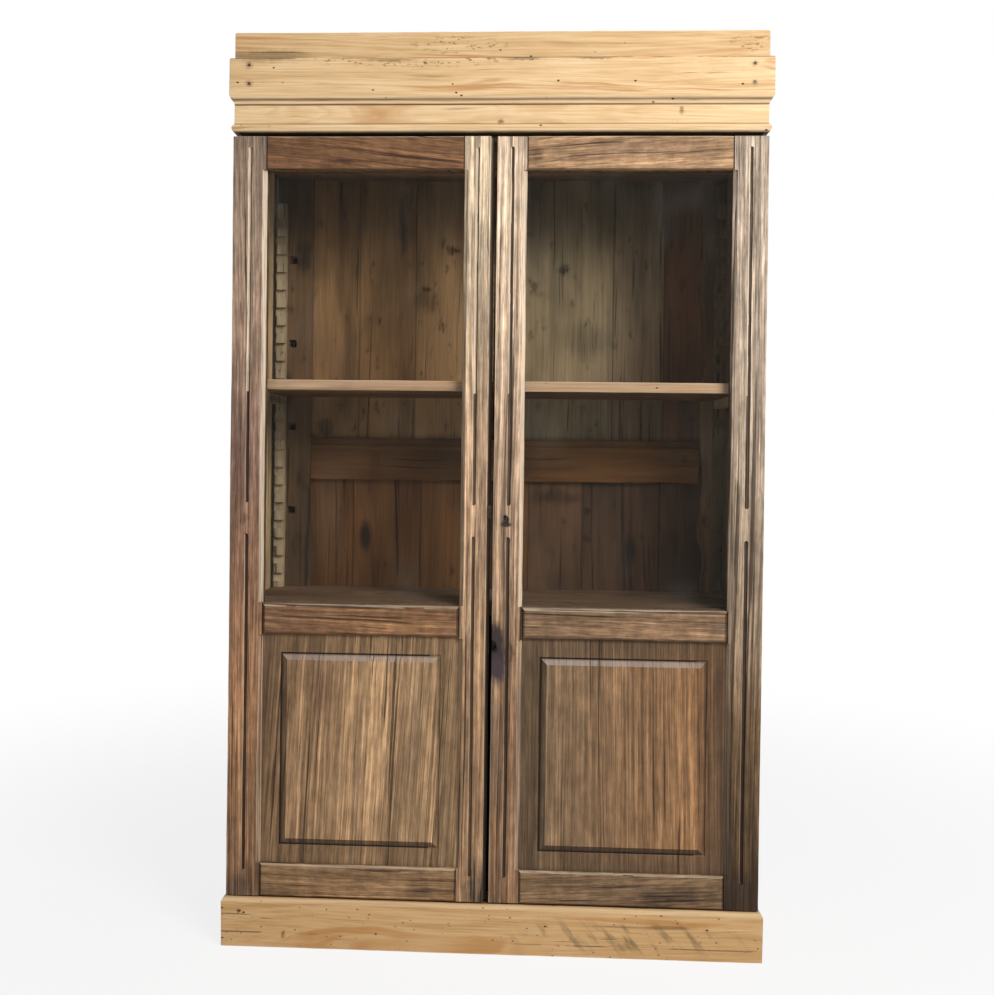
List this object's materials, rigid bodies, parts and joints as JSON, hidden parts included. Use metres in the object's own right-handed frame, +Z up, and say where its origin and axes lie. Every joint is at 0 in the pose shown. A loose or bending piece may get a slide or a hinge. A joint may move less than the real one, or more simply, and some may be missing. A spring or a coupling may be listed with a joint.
{
  "type": "display cabinet",
  "caption": "Tall rustic display cabinet: glazed doors with raised lower panels on pivot pins, pine cornice and plinth, plank back and a shelf on notched racks.",
  "frame": {"origin": "on the floor, under the middle of the cabinet's box", "axes": "+Z up, front with the doors towards -Y, +X to the right of someone facing the doors"},
  "size_m": [1.352, 0.39, 2.3],
  "materials": {
    "golden_pine": "oiled old pine, worn",
    "weathered_door_wood": "weathered, waxed",
    "dark_case_wood": "dark stained, dry",
    "old_glass": "old drawn glass",
    "dark_iron": "dark worn iron"
  },
  "bodies": {
    "carcass": {"left_side": "dark_case_wood", "right_side": "dark_case_wood", "bottom_board": "dark_case_wood", "top_board": "dark_case_wood", "deck_board": "dark_case_wood", "pivot_sockets": "dark_iron", "front_sill": "dark_case_wood", "rear_base_rail": "dark_case_wood", "plinth_front": "golden_pine", "plinth_left": "golden_pine", "plinth_right": "golden_pine", "frieze_front": "golden_pine", "frieze_left": "golden_pine", "frieze_right": "golden_pine", "cornice_nails": "dark_iron", "crown_corner_blocks": "dark_case_wood", "bead_front": "golden_pine", "bead_left": "golden_pine", "bead_right": "golden_pine", "cornice_front": "golden_pine", "cornice_left": "golden_pine", "cornice_right": "golden_pine", "cap_front": "golden_pine", "cap_left": "golden_pine", "cap_right": "golden_pine", "upper_back_planks": "dark_case_wood", "lower_back_planks": "dark_case_wood", "back_left_post": "dark_case_wood", "back_right_post": "dark_case_wood", "back_middle_rail": "dark_case_wood", "left_racks": "dark_case_wood", "right_racks": "dark_case_wood", "shelf_cleats": "dark_case_wood"},
    "left_door": {"left_hinge_stile": "weathered_door_wood", "left_meeting_stile": "weathered_door_wood", "left_top_rail": "weathered_door_wood", "left_middle_rail": "weathered_door_wood", "left_bottom_rail": "weathered_door_wood", "left_panel": "weathered_door_wood", "left_glass": "old_glass", "left_glazing_beads": "weathered_door_wood", "left_pivot_pins": "dark_iron", "keeper_plate": "dark_iron", "bolt_guides": "dark_iron"},
    "right_door": {"right_hinge_stile": "weathered_door_wood", "right_meeting_stile": "weathered_door_wood", "right_top_rail": "weathered_door_wood", "right_middle_rail": "weathered_door_wood", "right_bottom_rail": "weathered_door_wood", "right_panel": "weathered_door_wood", "right_glass": "old_glass", "right_glazing_beads": "weathered_door_wood", "right_pivot_pins": "dark_iron", "lock_case": "dark_iron", "keyhole_liner": "dark_iron"},
    "lock_bolt": {"lock_bolt": "dark_iron"},
    "top_bolt": {"top_bolt": "dark_iron"},
    "bottom_bolt": {"bottom_bolt": "dark_iron"},
    "shelf": {"shelf": "golden_pine"}
  },
  "joints": [
    {"name": "left_door_hinge", "type": "hinge", "parent": "carcass", "child": "left_door", "pos_m": [-0.654, -0.17, 1.08], "axis": [0, 0, -1], "range_deg": [0, 105]},
    {"name": "right_door_hinge", "type": "hinge", "parent": "carcass", "child": "right_door", "pos_m": [0.654, -0.17, 1.08], "axis": [0, 0, 1], "range_deg": [0, 105]},
    {"name": "lock_bolt_slide", "type": "slide", "parent": "right_door", "child": "lock_bolt", "axis": [-1, 0, 0], "range_m": [0, 0.014]},
    {"name": "top_bolt_slide", "type": "slide", "parent": "left_door", "child": "top_bolt", "axis": [0, 0, 1], "range_m": [0, 0.018]},
    {"name": "bottom_bolt_slide", "type": "slide", "parent": "left_door", "child": "bottom_bolt", "axis": [0, 0, -1], "range_m": [0, 0.018]},
    {"name": "shelf_lift", "type": "slide", "parent": "carcass", "child": "shelf", "axis": [0, 0, -1], "range_m": [-0.04, 0]}
  ]
}
